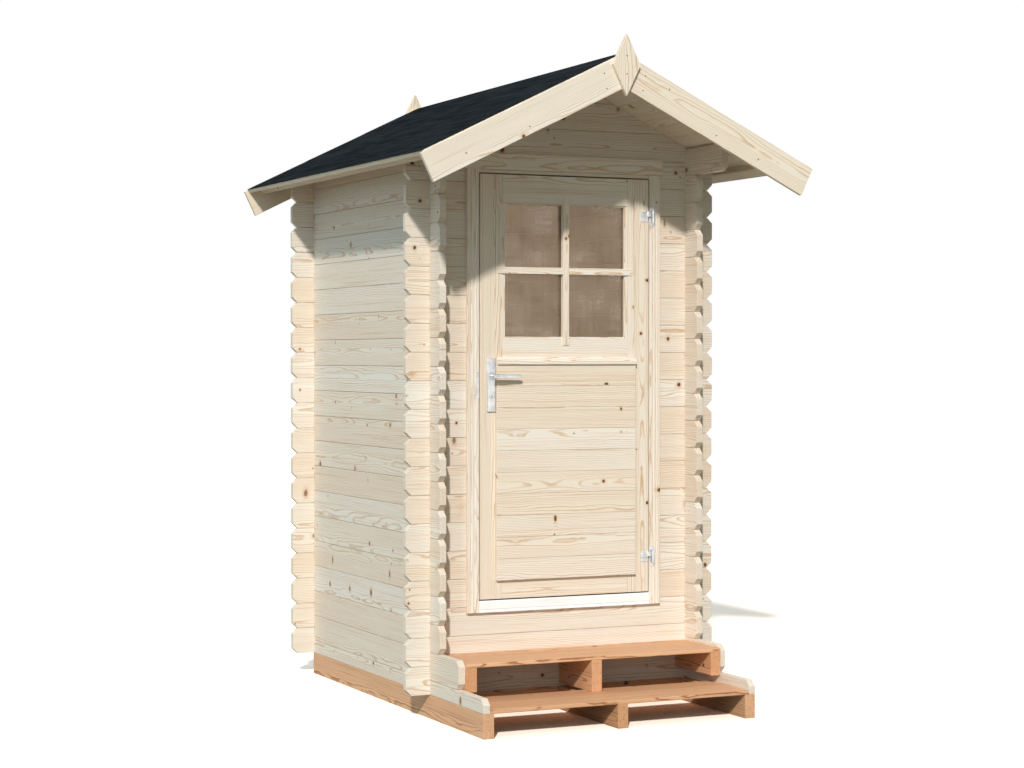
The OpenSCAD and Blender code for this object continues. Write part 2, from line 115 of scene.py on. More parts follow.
SIDE_ROWS = round((left[1].z - SIDE_BASE) / LOG_H)
SIDE_TOP = SIDE_BASE + SIDE_ROWS * LOG_H
LINTEL_ROW = round((lintel[0].z - BASE_Z) / LOG_H)
SILL_ROWS = round((sill[1].z - BASE_Z) / LOG_H)
UNDER_RIDGE = gable[1].z + HAIR
GABLE_PEAK = UNDER_RIDGE - 2 * HAIR

COLUMNS = [(-HALF_W, -HALF_W + LOG_T), (HALF_W - LOG_T, HALF_W)]
SIDE_COLUMNS = [(-HALF_D, -HALF_D + LOG_T), (HALF_D - LOG_T, HALF_D)]


def linear(*rgb):
    """A colour written as 0 to 255 screen values, as the linear numbers that shaders use."""
    scaled = [c / 255 for c in rgb]
    return tuple(c / 12.92 if c <= 0.04045 else ((c + 0.055) / 1.055) ** 2.4 for c in scaled) + (1,)


# ---- materials


class Nodes:
    """Short calls for building a node tree."""

    def __init__(self, tree):
        self.tree = tree

    def feed(self, socket, value):
        if isinstance(value, bpy.types.NodeSocket):
            self.tree.links.new(value, socket)
        else:
            socket.default_value = value

    def node(self, kind, **settings):
        made = self.tree.nodes.new("ShaderNode" + kind)
        for key, value in settings.items():
            setattr(made, key, value)
        return made

    def math(self, operation, *values):
        made = self.node("Math", operation=operation)
        for socket, value in zip(made.inputs, values):
            self.feed(socket, value)
        return made.outputs[0]

    def add(self, a, b):
        return self.math("ADD", a, b)

    def times(self, a, b):
        return self.math("MULTIPLY", a, b)

    def length(self, a, b):
        return self.math("SQRT", self.add(self.times(a, a), self.times(b, b)))

    def mix(self, share, a, b):
        made = self.node("Mix", data_type="RGBA")
        self.feed(made.inputs["Factor"], share)
        self.feed(made.inputs["A"], a)
        self.feed(made.inputs["B"], b)
        return made.outputs["Result"]

    def spread(self, value, low, high, to_low=0.0, to_high=1.0):
        """A smooth step as value goes from low to high."""
        made = self.node("MapRange", interpolation_type="SMOOTHSTEP")
        for key, number in zip(("Value", "From Min", "From Max", "To Min", "To Max"),
                               (value, low, high, to_low, to_high)):
            self.feed(made.inputs[key], number)
        return made.outputs["Result"]

    def scaled(self, vector, x, y, z):
        made = self.node("VectorMath", operation="MULTIPLY")
        self.feed(made.inputs[0], vector)
        made.inputs[1].default_value = (x, y, z)
        return made.outputs["Vector"]

    def noise(self, vector, scale, detail=2.0, rough=0.5, distortion=0.0):
        made = self.node("TexNoise")
        self.feed(made.inputs["Vector"], vector)
        made.inputs["Scale"].default_value = scale
        made.inputs["Detail"].default_value = detail
        made.inputs["Roughness"].default_value = rough
        made.inputs["Distortion"].default_value = distortion
        return made.outputs["Fac"]


class Shader(Nodes):
    """A new material round one principled shader."""

    def __init__(self, name):
        self.material = bpy.data.materials.new(name)
        self.material.use_nodes = True
        super().__init__(self.material.node_tree)
        self.bsdf = self.tree.nodes["Principled BSDF"]
        self.output = self.tree.nodes["Material Output"]

    def place(self):
        return self.node("TexCoord").outputs["Object"]

    def surface(self, colour, rough, metallic=0.0, specular=0.5):
        for name, value in (("Base Color", colour), ("Roughness", rough), ("Metallic", metallic),
                            ("Specular IOR Level", specular)):
            self.feed(self.bsdf.inputs[name], value)

    def bump(self, height, distance, strength):
        made = self.node("Bump")
        made.inputs["Strength"].default_value = strength
        made.inputs["Distance"].default_value = distance
        self.feed(made.inputs["Height"], height)
        self.feed(self.bsdf.inputs["Normal"], made.outputs["Normal"])


KNOTS_PER_METRE, KNOTS_PER_RADIAN = 4.2, 1.15
KNOT_RADII = (0.0026, 0.0095)
RING_PITCH = 0.0054
RING_DRIFT, RING_RIPPLE = 0.046, 0.0052  # how far the rings wander, slowly and quickly
GLASS_FILM = 0.32  # the share of the glass that its film hides


def wood(name, pale, warm, line, knot, contrast, knots, rough=0.6):
    """Sawn softwood: growth rings round a pith outside the board, knots that the rings flow round,
    and fibre. Mesh points carry grain (metres along, across and through the board) and a tint."""
    s = Shader(name)
    pale, warm, line, knot = (linear(*colour) for colour in (pale, warm, line, knot))
    grain = s.node("Attribute", attribute_name="grain").outputs["Vector"]
    tint = s.node("Attribute", attribute_name="tint").outputs["Fac"]
    parts = s.node("SeparateXYZ")
    s.feed(parts.inputs[0], grain)
    x, y, z = parts.outputs
    radius = s.length(y, z)
    angle = s.math("ARCTAN2", y, z)

    # Knots lie at scattered places along the board and round the pith
    place = s.node("CombineXYZ")
    s.feed(place.inputs[0], s.times(x, KNOTS_PER_METRE))
    s.feed(place.inputs[1], s.times(angle, KNOTS_PER_RADIAN))
    cells = s.node("TexVoronoi", voronoi_dimensions="2D")
    s.feed(cells.inputs["Vector"], place.outputs[0])
    cells.inputs["Scale"].default_value = 1.0
    centre = s.node("SeparateXYZ")
    s.feed(centre.inputs[0], cells.outputs["Position"])
    luck = s.node("SeparateColor")
    s.feed(luck.inputs[0], cells.outputs["Color"])
    along = s.math("SUBTRACT", x, s.math("DIVIDE", centre.outputs[0], KNOTS_PER_METRE))
    turn = s.math("SUBTRACT", angle, s.math("DIVIDE", centre.outputs[1], KNOTS_PER_RADIAN))
    wobble = s.noise(s.scaled(grain, 160, 160, 160), 1.0, 1.0)
    away = s.times(s.length(along, s.times(turn, radius)), s.add(0.75, s.times(wobble, 0.5)))
    there = s.spread(luck.outputs[0], 1 - knots, 1.02 - knots)
    size = s.spread(s.math("POWER", luck.outputs[1], 2.2), 0.0, 1.0, *KNOT_RADII)
    ratio = s.math("DIVIDE", away, size)
    core = s.times(there, s.spread(ratio, 0.75, 1.15, 1.0, 0.0))
    halo = s.times(there, s.spread(ratio, 0.9, 3.6, 1.0, 0.0))
    swell = s.times(s.times(halo, size), 2.2)

    # Growth rings wander along the board and swell round the knots
    drift = s.noise(s.scaled(grain, 1.7, 8, 8), 1.0, 2.5, 0.42)
    ripple = s.noise(s.scaled(grain, 11, 26, 26), 1.0, 2.0, 0.5)
    shift = s.add(s.times(drift, RING_DRIFT), s.times(ripple, RING_RIPPLE))
    ringed = s.math("SUBTRACT", s.add(radius, shift), swell)
    uneven = s.noise(s.scaled(grain, 0.3, 24, 24), 1.0, 1.0)
    phase = s.add(s.math("DIVIDE", ringed, RING_PITCH), s.times(uneven, 2.5))
    tooth = s.math("FRACT", phase)
    late = s.times(s.spread(tooth, 0.6, 0.9), s.spread(tooth, 0.92, 1.0, 1.0, 0.0))
    bands = s.noise(s.scaled(grain, 1.1, 42, 42), 1.0, 2.0)
    weight = s.spread(bands, 0.28, 0.62, 0.4 * contrast, contrast)
    fibre = s.noise(s.scaled(grain, 14, 620, 620), 1.0, 3.0, 0.6)
    streak = s.noise(s.scaled(grain, 1.6, 120, 120), 1.0, 3.0, 0.6)
    flame = s.noise(s.scaled(grain, 1.3, 15, 15), 1.0, 2.0)

    # Colour: pale to warm, late wood and streaks in the line colour, then fibre, knots and halos
    warmth = s.add(s.times(tint, 0.6), s.times(flame, 0.5))
    colour = s.mix(s.spread(warmth, 0.2, 0.9), pale, warm)
    colour = s.mix(s.times(late, weight), colour, line)
    colour = s.mix(s.times(s.spread(streak, 0.52, 0.72), 0.55 * contrast), colour, line)
    thread = s.add(s.times(fibre, 0.6), s.times(streak, 0.4))
    darker = s.node("VectorMath", operation="SCALE")
    s.feed(darker.inputs[0], colour)
    s.feed(darker.inputs["Scale"], s.spread(thread, 0.3, 0.7, 0.93, 1.0))
    colour = s.mix(s.times(s.math("POWER", halo, 3.0), 0.55), darker.outputs[0], line)
    heart = s.mix(s.spread(ratio, 0.0, 0.8), tuple(c * 0.45 for c in knot[:3]) + (1,), knot)
    colour = s.mix(s.times(core, s.spread(luck.outputs[2], 0.0, 0.6, 0.55, 1.0)), colour, heart)
    s.surface(colour, s.spread(fibre, 0.2, 0.8, rough - 0.06, rough + 0.1), specular=0.3)
    height = s.add(s.times(late, 0.35), s.times(fibre, 0.5))
    s.bump(s.add(height, s.times(core, 0.6)), 0.0005, 0.5)
    return s.material


def roofing_felt():
    """Mineral felt: dark blue-grey granules, pressed streaks and cloudy wear."""
    s = Shader("roofing_felt")
    place = s.place()
    streak = s.noise(s.scaled(place, 34, 4.0, 34), 1.0, 4.0, 0.6, 0.6)
    cloud = s.noise(s.scaled(place, 7, 1.6, 7), 1.0, 3.0)
    granule = s.noise(place, 420, 2.0, 0.7)
    colour = s.mix(s.spread(streak, 0.3, 0.72), linear(25, 28, 31), linear(43, 48, 52))
    colour = s.mix(s.times(s.spread(cloud, 0.45, 0.75), 0.25), colour, linear(54, 60, 65))
    colour = s.mix(s.times(s.spread(granule, 0.6, 0.7), 0.3), colour, linear(76, 86, 92))
    s.surface(colour, s.spread(granule, 0.3, 0.7, 0.78, 0.95), specular=0.0)
    s.bump(s.add(granule, s.times(streak, 0.8)), 0.0012, 0.7)
    return s.material


def brushed_steel():
    s = Shader("satin_steel")
    place = s.place()
    brush = s.noise(s.scaled(place, 900, 900, 30), 1.0, 3.0)
    wear = s.noise(place, 38, 3.0)
    colour = s.mix(s.spread(wear, 0.35, 0.7), linear(208, 212, 216), linear(184, 188, 192))
    polish = s.add(s.times(brush, 0.5), s.times(wear, 0.5))
    s.surface(colour, s.spread(polish, 0.3, 0.7, 0.3, 0.44), metallic=0.85)
    s.bump(brush, 0.00015, 0.4)
    return s.material


def dark_steel():
    s = Shader("nail_steel")
    spots = s.noise(s.place(), 260, 2.0)
    colour = s.mix(s.spread(spots, 0.4, 0.65), linear(92, 84, 74), linear(58, 50, 42))
    s.surface(colour, s.spread(spots, 0.3, 0.7, 0.45, 0.65), metallic=0.7)
    return s.material


def white_metal():
    s = Shader("white_coated_metal")
    place = s.place()
    orange_peel = s.noise(place, 340, 2.0)
    scuff = s.noise(s.scaled(place, 3, 30, 30), 1.0, 4.0, 0.65)
    colour = s.mix(s.spread(scuff, 0.55, 0.8), linear(244, 246, 250), linear(230, 231, 232))
    s.surface(colour, s.spread(scuff, 0.3, 0.8, 0.32, 0.5))
    s.bump(orange_peel, 0.0002, 0.3)
    return s.material


def window_glass():
    """Dusty window glass: the logs inside show through a cloudy film, with faint lines painted as a
    reflection of board grain.
    """
    s = Shader("window_glass")
    place = s.place()
    cloud = s.noise(s.scaled(place, 7, 6, 8), 1.0, 2.0, 0.4)
    upright = s.noise(s.scaled(place, 120, 1, 6), 1.0, 2.0)
    level = s.noise(s.scaled(place, 6, 1, 120), 1.0, 2.0)
    # painted reflection: fine upright and level lines thin the film, like board grain mirrored in
    # the glass
    reflection_lines = s.add(s.spread(upright, 0.42, 0.66), s.spread(level, 0.46, 0.7))
    dust_and_reflection_lines = s.add(s.spread(cloud, 0.35, 0.75, 0.0, 0.05), s.times(reflection_lines, -0.045))
    colour = s.mix(s.spread(cloud, 0.4, 0.8), linear(194, 173, 150), linear(206, 190, 172))
    s.surface(colour, 0.3, metallic=0.9)
    clear = s.node("BsdfTransparent")
    clear.inputs["Color"].default_value = (0.80, 0.76, 0.71, 1)
    share = s.node("MixShader")
    s.feed(share.inputs[0], s.add(dust_and_reflection_lines, GLASS_FILM))
    s.feed(share.inputs[1], clear.outputs[0])
    s.feed(share.inputs[2], s.bsdf.outputs[0])
    s.feed(s.output.inputs["Surface"], share.outputs[0])
    return s.material


SPRUCE = wood("spruce_logs", (234, 228, 219), (231, 217, 201), (196, 156, 118), (112, 72, 48),
              contrast=0.8, knots=0.25)
DOOR_WOOD = wood("planed_spruce", (242, 234, 224), (239, 226, 210), (204, 166, 126),
                 (108, 68, 44), contrast=0.82, knots=0.13, rough=0.52)
ROOF_WOOD = wood("roof_spruce", (241, 233, 223), (238, 225, 207), (206, 172, 132),
                 (112, 72, 46), contrast=0.82, knots=0.18)
TREATED = wood("treated_spruce", (230, 184, 146), (216, 162, 120), (160, 98, 60), (92, 54, 36),
               contrast=0.95, knots=0.2, rough=0.66)
FELT = roofing_felt()
STEEL = brushed_steel()
NAIL = dark_steel()
WHITE_METAL = white_metal()
GLASS = window_glass()

# Material, body and slot of each family of timbers
LOGS = (SPRUCE, "shed", "log_wood")
BASE = (TREATED, "shed", "base_wood")
FRAME = (DOOR_WOOD, "shed", "door_wood")
LEAF = (DOOR_WOOD, "door", "door_wood")
ROOFING = (ROOF_WOOD, "shed", "roof_wood")


# ---- mesh helpers

X, Y, Z = Vector((1, 0, 0)), Vector((0, 1, 0)), Vector((0, 0, 1))
PLANES = {"xz": (X, Z, Y), "yz": (Y, Z, X), "xy": (X, Y, Z)}  # right, up and normal
LEAST_BEND = math.radians(28)  # edges sharper than this are rounded
SHARP = math.radians(35)  # edges sharper than this stay sharp in smooth shading
LEAST_EDGE = 0.00005
LONG_LOG = 60  # the grain pattern is taken from somewhere along a log this long
PITH_BEHIND = (0.012, 0.055)  # how far the pith lies behind a board


def prism(points, plane, low, high):
    """An outline in a plane, made solid between two distances along the plane's normal."""
    right, up, normal = PLANES[plane]
    bm = bmesh.new()
    rings = [[bm.verts.new(right * a + up * b + normal * d) for a, b in points]
             for d in (low, high)]
    count = len(points)
    bm.faces.new(rings[0])
    bm.faces.new(rings[1])
    for i in range(count):
        j = (i + 1) % count
        bm.faces.new((rings[0][i], rings[0][j], rings[1][j], rings[1][i]))
    bmesh.ops.recalc_face_normals(bm, faces=bm.faces)
    return bm


def convex_edges(bm):
    return [e for e in bm.edges if e.is_manifold and e.calc_face_angle_signed(0) > LEAST_BEND]


def lies_along(edge, along):
    """How nearly an edge runs along a direction, from 0 to 1."""
    return abs((edge.verts[1].co - edge.verts[0].co).normalized().dot(along))


def soften(bm, along, seam, soft, segments=2):
    """Rounds the edges that run along the grain by seam, and the other corners by soft."""
    long_edges = [e for e in convex_edges(bm) if lies_along(e, along) > 0.999]
    if long_edges:
        bmesh.ops.bevel(bm, geom=long_edges, offset=seam, segments=segments, profile=0.6,
                        affect="EDGES", clamp_overlap=True)
    others = [e for e in convex_edges(bm) if lies_along(e, along) < 0.9]
    if others:
        bmesh.ops.bevel(bm, geom=others, offset=soft, segments=1, affect="EDGES",
                        clamp_overlap=True)
    bmesh.ops.dissolve_degenerate(bm, dist=LEAST_EDGE, edges=bm.edges)
    return bm


class Timber:
    """Collects boards into one piece. Each board has grain coordinates round its own pith, and a
    tint."""

    def __init__(self, name, material, body, slot, *nodes):
        self.about = (name, material, body, slot, *nodes)
        self.bm = bmesh.new()
        self.grain = self.bm.verts.layers.float_vector.new("grain")
        self.tint = self.bm.verts.layers.float.new("tint")
        self.rng = random.Random(name + SEED)

    def add(self, board, along, face, seam=EDGE, soft=SOFT):
        """Takes a board's mesh, its grain's direction and the way that its best face looks."""
        soften(board, along, seam, soft)
        across = face.cross(along)
        points = [v.co for v in board.verts]
        middle = sum(points, Vector()) / len(points)
        wide = max(p.dot(across) for p in points) - min(p.dot(across) for p in points)
        thick = max(p.dot(face) for p in points) - min(p.dot(face) for p in points)
        pith = Vector((self.rng.uniform(0, LONG_LOG), self.rng.uniform(-0.85, 0.85) * wide,
                       thick / 2 + self.rng.uniform(*PITH_BEHIND)))
        tint = self.rng.random()
        made = {}
        for v in board.verts:
            new = self.bm.verts.new(v.co)
            local = v.co - middle
            new[self.grain] = Vector((local.dot(along), local.dot(across), local.dot(face))) + pith
            new[self.tint] = tint
            made[v] = new
        for f in board.faces:
            self.bm.faces.new([made[v] for v in f.verts])
        board.free()

    def plank(self, points, plane, low, high, along, seam=EDGE):
        """A board given as an outline in a plane; its best face looks along the normal."""
        _, up, normal = PLANES[plane]
        face = normal if abs(normal.dot(along)) < 0.5 else up
        self.add(prism(points, plane, low, high), along, face, seam)

    def slat(self, x_range, z_range, y_range, along, seam=EDGE):
        """A square board seen from the front."""
        outline = rectangle(*sorted(x_range), *z_range)
        self.plank(outline, "xz", *y_range, along, seam)

    def beam(self, low, high, along, face, seam=EDGE):
        """A straight square board between two corners."""
        outline = rectangle(low[0], high[0], low[1], high[1])
        self.add(prism(outline, "xy", low[2], high[2]), along, face, seam)

    def finish(self):
        finish_piece(self.bm, *self.about)


def one_board(name, family, node, board, along, face, seam=EDGE, soft=SOFT):
    """A piece that is a single board."""
    timber = Timber(name, *family, node)
    timber.add(board, along, face, seam, soft)
    timber.finish()


def put(name, data):
    made = bpy.data.objects.new(name, data)
    bpy.context.scene.collection.objects.link(made)
    return made


def finish_piece(bm, name, material, body, slot, *nodes, smooth=False):
    """Turns a bmesh into a named piece that rides on a body and stands for CAD nodes."""
    mesh = bpy.data.meshes.new(name)
    bmesh.ops.recalc_face_normals(bm, faces=bm.faces)
    if smooth:
        for f in bm.faces:
            f.smooth = True
        for e in bm.edges:
            e.smooth = not e.is_manifold or e.calc_face_angle(0) < SHARP
    bm.to_mesh(mesh)
    bm.free()
    mesh.materials.append(material)
    piece = put(name, mesh)
    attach(piece, body)
    if nodes:
        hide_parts(*nodes)


def rectangle(a0, a1, b0, b1):
    return [(a0, b0), (a1, b0), (a1, b1), (a0, b1)]


def rows(low, high, count, gap):
    """Equal spans from low to high, each short of its neighbours by a gap at both ends."""
    pitch = (high - low) / count
    return [(low + i * pitch + gap, low + i * pitch + pitch - gap) for i in range(count)]


# ---- logs


def low_bites(bites, edge):
    """The points along a lower edge, start to end, with each bite cut up into it."""
    return [point for u0, u1, depth in sorted(bites)
            for point in ((u0, edge), (u0, edge + depth), (u1, edge + depth), (u1, edge))]


def high_bites(bites, edge):
    """The points along an upper edge, end to start, with each bite cut down into it."""
    return [point for u0, u1, depth in sorted(bites, reverse=True)
            for point in ((u1, edge), (u1, edge - depth), (u0, edge - depth), (u0, edge))]


def log_outline(start, end, low, high, bites_low=(), bites_high=(), bevels=(0, 0, 0, 0)):
    """A log seen square on. Bites are (from, to, depth) cut from its lower or upper edge.
    Bevels are its corners': start low, end low, end high, start high."""
    a, b, c, d = bevels
    points = [(start, low + a), (start + a, low)] if a else [(start, low)]
    points += low_bites(bites_low, low)
    points += [(end - b, low), (end, low + b)] if b else [(end, low)]
    points += [(end, high - c), (end - c, high)] if c else [(end, high)]
    points += high_bites(bites_high, high)
    points += [(start + d, high), (start, high - d)] if d else [(start, high)]
    return points


def corner_bites(columns):
    return [(u0 - PLAY, u1 + PLAY, NOTCH) for u0, u1 in columns]


def add_log(timber, outline, plane, low, high):
    """One log of a wall; a little play keeps a dark line in the seams above and below it."""
    bottom, top = min(v for _, v in outline), max(v for _, v in outline)
    nudge = {bottom: SEAM_PLAY, top: -SEAM_PLAY}
    outline = [(u, v + nudge.get(v, 0)) for u, v in outline]
    timber.plank(outline, plane, low, high, PLANES[plane][0], LOG_EDGE)


ALL_BEVELS = (END_BEVEL,) * 4
LEFT_BEVELS = (END_BEVEL, 0, 0, END_BEVEL)
RIGHT_BEVELS = (0, END_BEVEL, END_BEVEL, 0)
LEAST_LOG = 0.006  # no gable log is lower than this
LEAST_TIP = 0.002  # a narrower top of a gable log comes to a point
STEP_LOG_Y = -0.990  # where the log beside the upper step begins
TOP_LOG_Y = -1.007  # where the log under the porch roof begins
TOP_LOG_R = 0.035  # the rounding of that end
ARC_STEPS = 6


def roof_half(z):
    """Half the gable's width under the roof boards at height z."""
    return min(HALF_W, max(0.0, (GABLE_PEAK - z) / math.tan(PITCH)))


def gable_logs(timber, y0, y1):
    """The logs over the eaves, cut to the roof's slope."""
    first = low = SIDE_TOP - HALF_LOG
    while low < UNDER_RIDGE - LEAST_LOG:
        high = min(low + LOG_H, UNDER_RIDGE - RIDGE_PLAY)
        w0, w1 = roof_half(low), roof_half(high)
        tip = [(w1, high), (-w1, high)] if w1 > LEAST_TIP else [(0, high)]
        points = [(-w0, low), (w0, low), *tip]
        if low == first:
            inner, step = HALF_W - LOG_T - PLAY, low + NOTCH
            shoulder = GABLE_PEAK - HALF_W * math.tan(PITCH)
            points = [(-HALF_W, step), (-inner, step), (-inner, low), (inner, low), (inner, step),
                      (HALF_W, step), (HALF_W, shoulder), *tip, (-HALF_W, shoulder)]
        add_log(timber, points, "xz", y0, y1)
        low += LOG_H


def cross_log(timber, row, y0, y1, low_gap=None, high_gap=None):
    """A log of the front or back wall in its row. The gaps are bites for the doorway."""
    low = BASE_Z + row * LOG_H
    corners = corner_bites(COLUMNS)
    bites_low = (corners if row else []) + ([low_gap] if low_gap else [])
    bites_high = corners + ([high_gap] if high_gap else [])
    outline = log_outline(-END_X, END_X, low, low + LOG_H, bites_low, bites_high, ALL_BEVELS)
    add_log(timber, outline, "xz", y0, y1)


def back_wall():
    timber = Timber("back_wall_logs", *LOGS, "back_wall")
    y0, y1 = HALF_D - LOG_T, HALF_D
    for row in range(SIDE_ROWS):
        cross_log(timber, row, y0, y1)
    gable_logs(timber, y0, y1)
    timber.finish()


def front_wall():
    """The logs under the door, beside it and over it, and the gable."""
    y0, y1 = -HALF_D, -HALF_D + LOG_T
    timber = Timber("front_wall_sill_logs", *LOGS, "front_wall_sill")
    frame_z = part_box("door_jamb_left")[0].z - PLAY
    for row in range(SILL_ROWS):
        top = BASE_Z + (row + 1) * LOG_H
        gap = (-CUT_X, CUT_X, top - frame_z) if top > frame_z else None
        cross_log(timber, row, y0, y1, high_gap=gap)
    timber.finish()
    for name, column, ends, bevels in (("left", COLUMNS[0], (-END_X, -CUT_X), LEFT_BEVELS),
                                       ("right", COLUMNS[1], (CUT_X, END_X), RIGHT_BEVELS)):
        timber = Timber(f"front_wall_{name}_logs", *LOGS, f"front_wall_{name}")
        bites = corner_bites([column])
        for row in range(SILL_ROWS, LINTEL_ROW):
            low = BASE_Z + row * LOG_H
            outline = log_outline(*ends, low, low + LOG_H, bites, bites, bevels)
            add_log(timber, outline, "xz", y0, y1)
        timber.finish()
    timber = Timber("front_lintel_logs", *LOGS, "front_lintel_log")
    head_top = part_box("door_head")[1].z + PLAY
    for row in range(LINTEL_ROW, SIDE_ROWS):
        low = BASE_Z + row * LOG_H
        gap = (-CUT_X, CUT_X, head_top - low) if head_top > low else None
        cross_log(timber, row, y0, y1, low_gap=gap)
    timber.finish()
    timber = Timber("front_gable_logs", *LOGS, "front_gable")
    gable_logs(timber, y0, y1)
    timber.finish()


def side_wall(side, name):
    """A side wall: a half log that runs out beside the lower step, a log beside the upper step,
    the rows over it, and a top log with a rounded end that reaches out under the roof."""
    timber = Timber(f"{name}_wall_logs", *LOGS, f"{name}_wall")
    x0, x1 = sorted((side * (HALF_W - LOG_T), side * HALF_W))
    bites = corner_bites(SIDE_COLUMNS)
    outline = log_outline(left[0].y, END_Y, BASE_Z, SIDE_BASE, (), bites,
                          (0, 0, END_BEVEL, END_BEVEL))
    add_log(timber, outline, "yz", x0, x1)
    for row in range(SIDE_ROWS - 1):
        low = SIDE_BASE + row * LOG_H
        begin = -END_Y if row else STEP_LOG_Y
        outline = log_outline(begin, END_Y, low, low + LOG_H, bites, bites, ALL_BEVELS)
        add_log(timber, outline, "yz", x0, x1)
    low, high = SIDE_TOP - LOG_H, left[1].z
    arc = [(TOP_LOG_Y + TOP_LOG_R * (1 - math.sin(t)), low + TOP_LOG_R * (1 - math.cos(t)))
           for t in (i * math.pi / (2 * ARC_STEPS) for i in range(ARC_STEPS + 1))]
    points = arc[:1] + low_bites(bites, low)
    points += [(END_Y - END_BEVEL, low), (END_Y, low + END_BEVEL), (END_Y, high - END_BEVEL),
               (END_Y - END_BEVEL, high)]
    points += high_bites(bites, high) + [(TOP_LOG_Y, high)] + arc[:0:-1]
    add_log(timber, points, "yz", x0, x1)
    timber.finish()


# ---- base, steps and floor

SIDE_SUPPORT_H = 0.095
BEARER_W = 0.045


def base_board(name, node, along, face, seam):
    """A plain square timber that fills a CAD node's box."""
    timber = Timber(name, *BASE, node)
    timber.beam(*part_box(node), along, face, seam)
    timber.finish()


def base_timbers():
    for node in ("joist_left", "joist_middle", "joist_right"):
        base_board(node + "_beam", node, Y, X, seam=0.002)
    header = Timber("header_beams", *BASE, "header_joists")
    low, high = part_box("header_joists")
    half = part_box("joist_middle")[1].x
    header.beam(low, (-half, high.y, high.z), X, Y)
    header.beam((half, low.y, low.z), high, X, Y)
    header.finish()
    for node in ("lower_tread", "upper_tread"):
        base_board(node + "_board", node, X, Z, seam=0.003)
    supports = Timber("step_support_blocks", *BASE, "step_supports")
    low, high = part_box("step_supports")
    side_z = high.z - SIDE_SUPPORT_H
    supports.beam((low.x, low.y, side_z), (low.x + 2 * half, high.y, high.z), Y, X)
    supports.beam((high.x - 2 * half, low.y, side_z), high, Y, X)
    supports.beam((-half, low.y, low.z), (half, high.y, high.z), Y, X)
    supports.finish()


def floor():
    bearers = Timber("floor_bearer_beams", *LOGS, "floor_bearers")
    low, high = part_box("floor_bearers")
    for x in (low.x, -BEARER_W / 2, high.x - BEARER_W):
        bearers.beam((x, low.y, low.z), (x + BEARER_W, high.y, high.z), Y, X)
    bearers.finish()
    boards = Timber("floor_board_layer", *LOGS, "floor_boards")
    low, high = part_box("floor_boards")
    for y0, y1 in rows(low.y, high.y, FLOOR_BOARDS, PLAY):
        boards.beam((low.x, y0, low.z), (high.x, y1, high.z), X, Z, seam=0.0025)
    boards.finish()


# ---- door frame

STOP_W = 0.012  # how far a stop stands out from its jamb
LEAF_GAP = 0.005  # between the leaf and the stops
LIP_DROP = 0.001
GROOVES = (0.34, 0.62)  # shares of a casing's width
GROOVE_HALF, GROOVE_DEEP = 0.0026, 0.0022
SILL_FALL = 0.003
SILL_NOSE = 0.004
SILL_GROOVE = ((0, 0.014), (0.0015, 0.012), (0.0015, 0.009), (0, 0.007))  # depth and height
RIB_FROM_INSIDE = (0.020, 0.026, 0.030)
RIB_H, RIB_FOOT_DROP = 0.002, 0.0026


def door_frame():
    """The jambs with their stops, the head, and the three casings."""
    for side, name in ((-1, "left"), (1, "right")):
        jamb = Timber(f"door_jamb_{name}_board", *FRAME, f"door_jamb_{name}")
        low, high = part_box(f"door_jamb_{name}")
        inner, outer = (low.x, high.x) if side > 0 else (high.x, low.x)
        stop_x = inner + side * STOP_W
        stop_low, stop_high = leaf[0].z - LEAF_GAP, leaf[1].z + LEAF_GAP
        jamb.beam((min(stop_x, outer), low.y, low.z), (max(stop_x, outer), high.y, high.z), Z, X)
        jamb.beam((min(inner, stop_x), leaf[1].y + LEAF_GAP, stop_low),
                  (max(inner, stop_x), high.y, stop_high), Z, Y)
        jamb.finish()
        low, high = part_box(f"casing_{name}")
        one_board(f"casing_{name}_board", FRAME, f"casing_{name}",
                  prism(moulded_strip(low, high), "xy", low.z, high.z), Z, -Y, seam=0.002)
    low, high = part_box("door_head")
    lip_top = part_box("casing_left")[1].z - LIP_DROP
    section = [(low.y, low.z), (high.y, low.z), (high.y, high.z), (-HALF_D, high.z),
               (-HALF_D, lip_top), (low.y, lip_top)]
    one_board("door_head_board", FRAME, "door_head", prism(section, "yz", low.x, high.x), X, Z,
              seam=0.0015)
    top = Timber("casing_head_board", *FRAME, "casing_head")
    top.beam(*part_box("casing_head"), X, -Y, seam=0.0025)
    top.finish()


def moulded_strip(low, high):
    """A casing's section: flat, with two fine grooves on its front."""
    front = [(low.x, low.y)]
    for share in GROOVES:
        x = low.x + (high.x - low.x) * share
        front += [(x - GROOVE_HALF, low.y), (x, low.y + GROOVE_DEEP), (x + GROOVE_HALF, low.y)]
    return front + [(high.x, low.y), (high.x, high.y), (low.x, high.y)]


def threshold():
    """The white metal sill: a lip with a drip groove, a sloping top and a raised rib."""
    low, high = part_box("door_threshold")
    back_y = -HALF_D - PLAY
    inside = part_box("door_jamb_left")[0].z
    inner_z = high.z - SILL_FALL
    near, far, foot = (high.y - back for back in RIB_FROM_INSIDE)
    points = [(low.y, low.z), (back_y, low.z), (back_y, inside), (high.y, inside),
              (high.y, inner_z), (near, inner_z + RIB_H), (far, inner_z + RIB_H),
              (foot, high.z - RIB_FOOT_DROP), (low.y + SILL_NOSE, high.z),
              (low.y, high.z - SILL_NOSE)]
    points += [(low.y + deep, low.z + up) for deep, up in SILL_GROOVE]
    bm = soften(prism(points, "yz", low.x, high.x), X, METAL_EDGE, METAL_EDGE, segments=1)
    finish_piece(bm, "door_threshold_bar", WHITE_METAL, "shed", "sill_metal", "door_threshold")


# ---- door leaf

